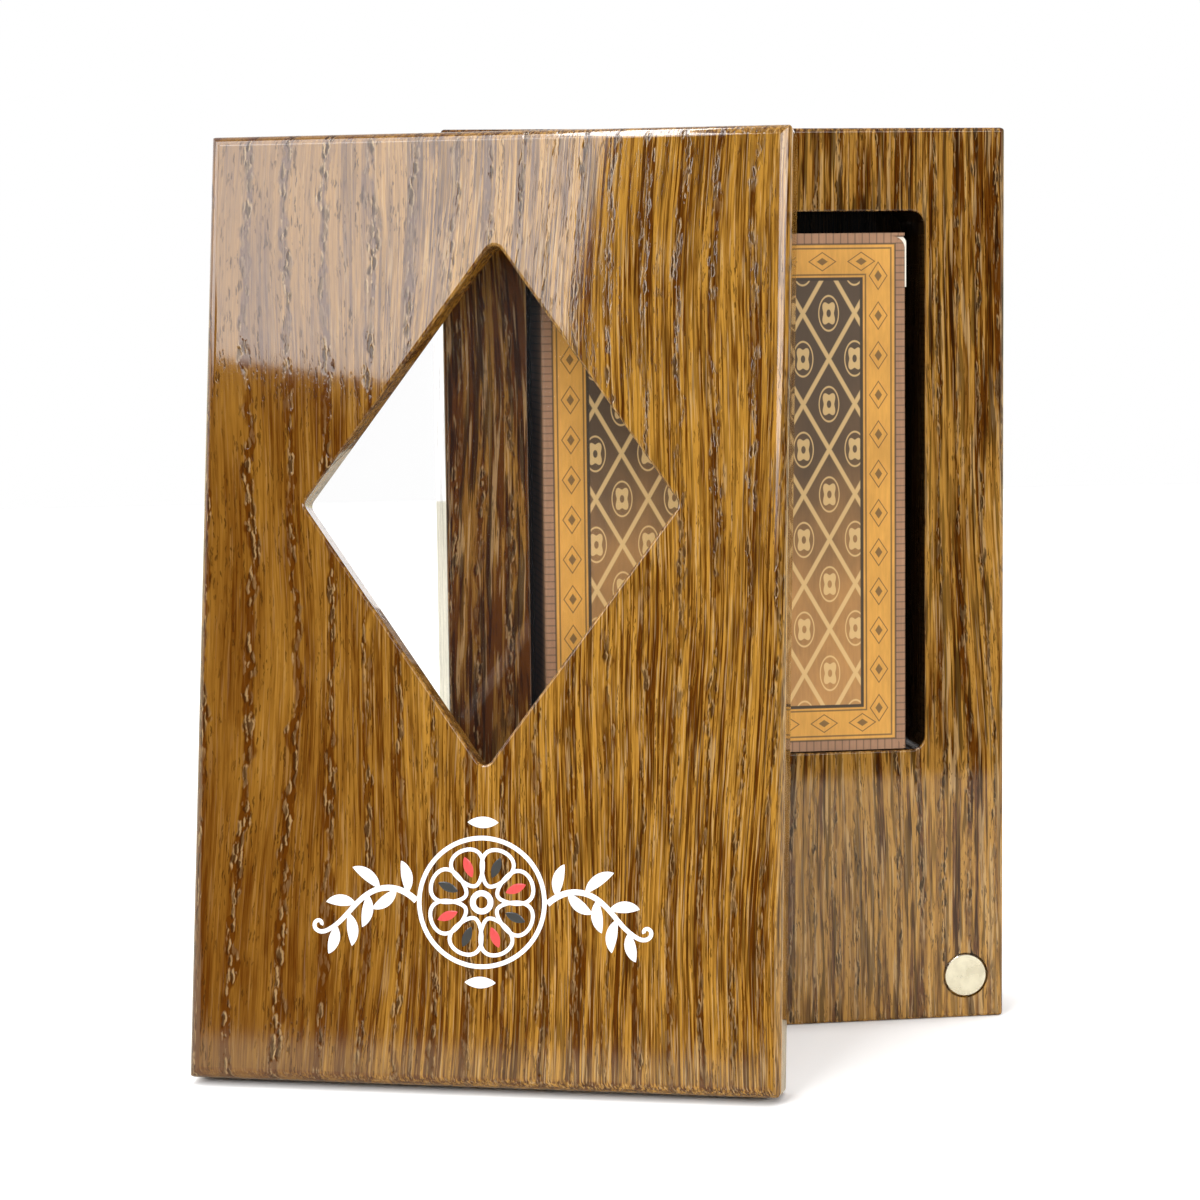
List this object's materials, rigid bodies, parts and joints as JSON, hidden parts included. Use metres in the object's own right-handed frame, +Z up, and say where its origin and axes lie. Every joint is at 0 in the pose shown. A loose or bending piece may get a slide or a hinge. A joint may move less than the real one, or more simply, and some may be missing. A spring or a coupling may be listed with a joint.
{
  "type": "playing card box",
  "caption": "Upright wooden playing card box: routed base holding a boxed deck, and a lift-off magnetic lid with a diamond window leaning against it.",
  "frame": {"origin": "centre of the flat lower end that the base stands on", "axes": "+Z up the base's long side; the base's open face looks along -Y; +X to the right seen from the front"},
  "size_m": [0.1465, 0.0734, 0.16],
  "materials": {
    "stained_wood": "dark-stained open-pored ash under a thick gloss lacquer",
    "plated_magnet": "nickel-plated disc magnet",
    "clear_pane": "clear cast acrylic",
    "printed_board": "printed and varnished paperboard",
    "plain_board": "white paperboard, printed on its top panel",
    "card_stock": "coated playing card stock"
  },
  "bodies": {
    "base": {"base_block": "stained_wood", "base_magnet_upper": "plated_magnet", "base_magnet_lower": "plated_magnet"},
    "lid": {"lid_board": "stained_wood", "lid_window_pane": "clear_pane", "lid_magnet_upper": "plated_magnet", "lid_magnet_lower": "plated_magnet"},
    "card_case": {"card_case_sleeve": "printed_board", "card_case_flap": "plain_board", "card_deck": "card_stock"}
  },
  "joints": [
    {"name": "lid_lift", "type": "slide", "parent": "base", "child": "lid", "axis": [-0.3067, -0.9383, 0.1599], "range_m": [0, 0.07]},
    {"name": "card_case_lift", "type": "slide", "parent": "base", "child": "card_case", "axis": [0, -1, 0], "range_m": [0, 0.035]}
  ],
  "couplings": [
    {"joint": "card_case_lift", "follows": "lid_lift", "ratio": 0.5}
  ]
}
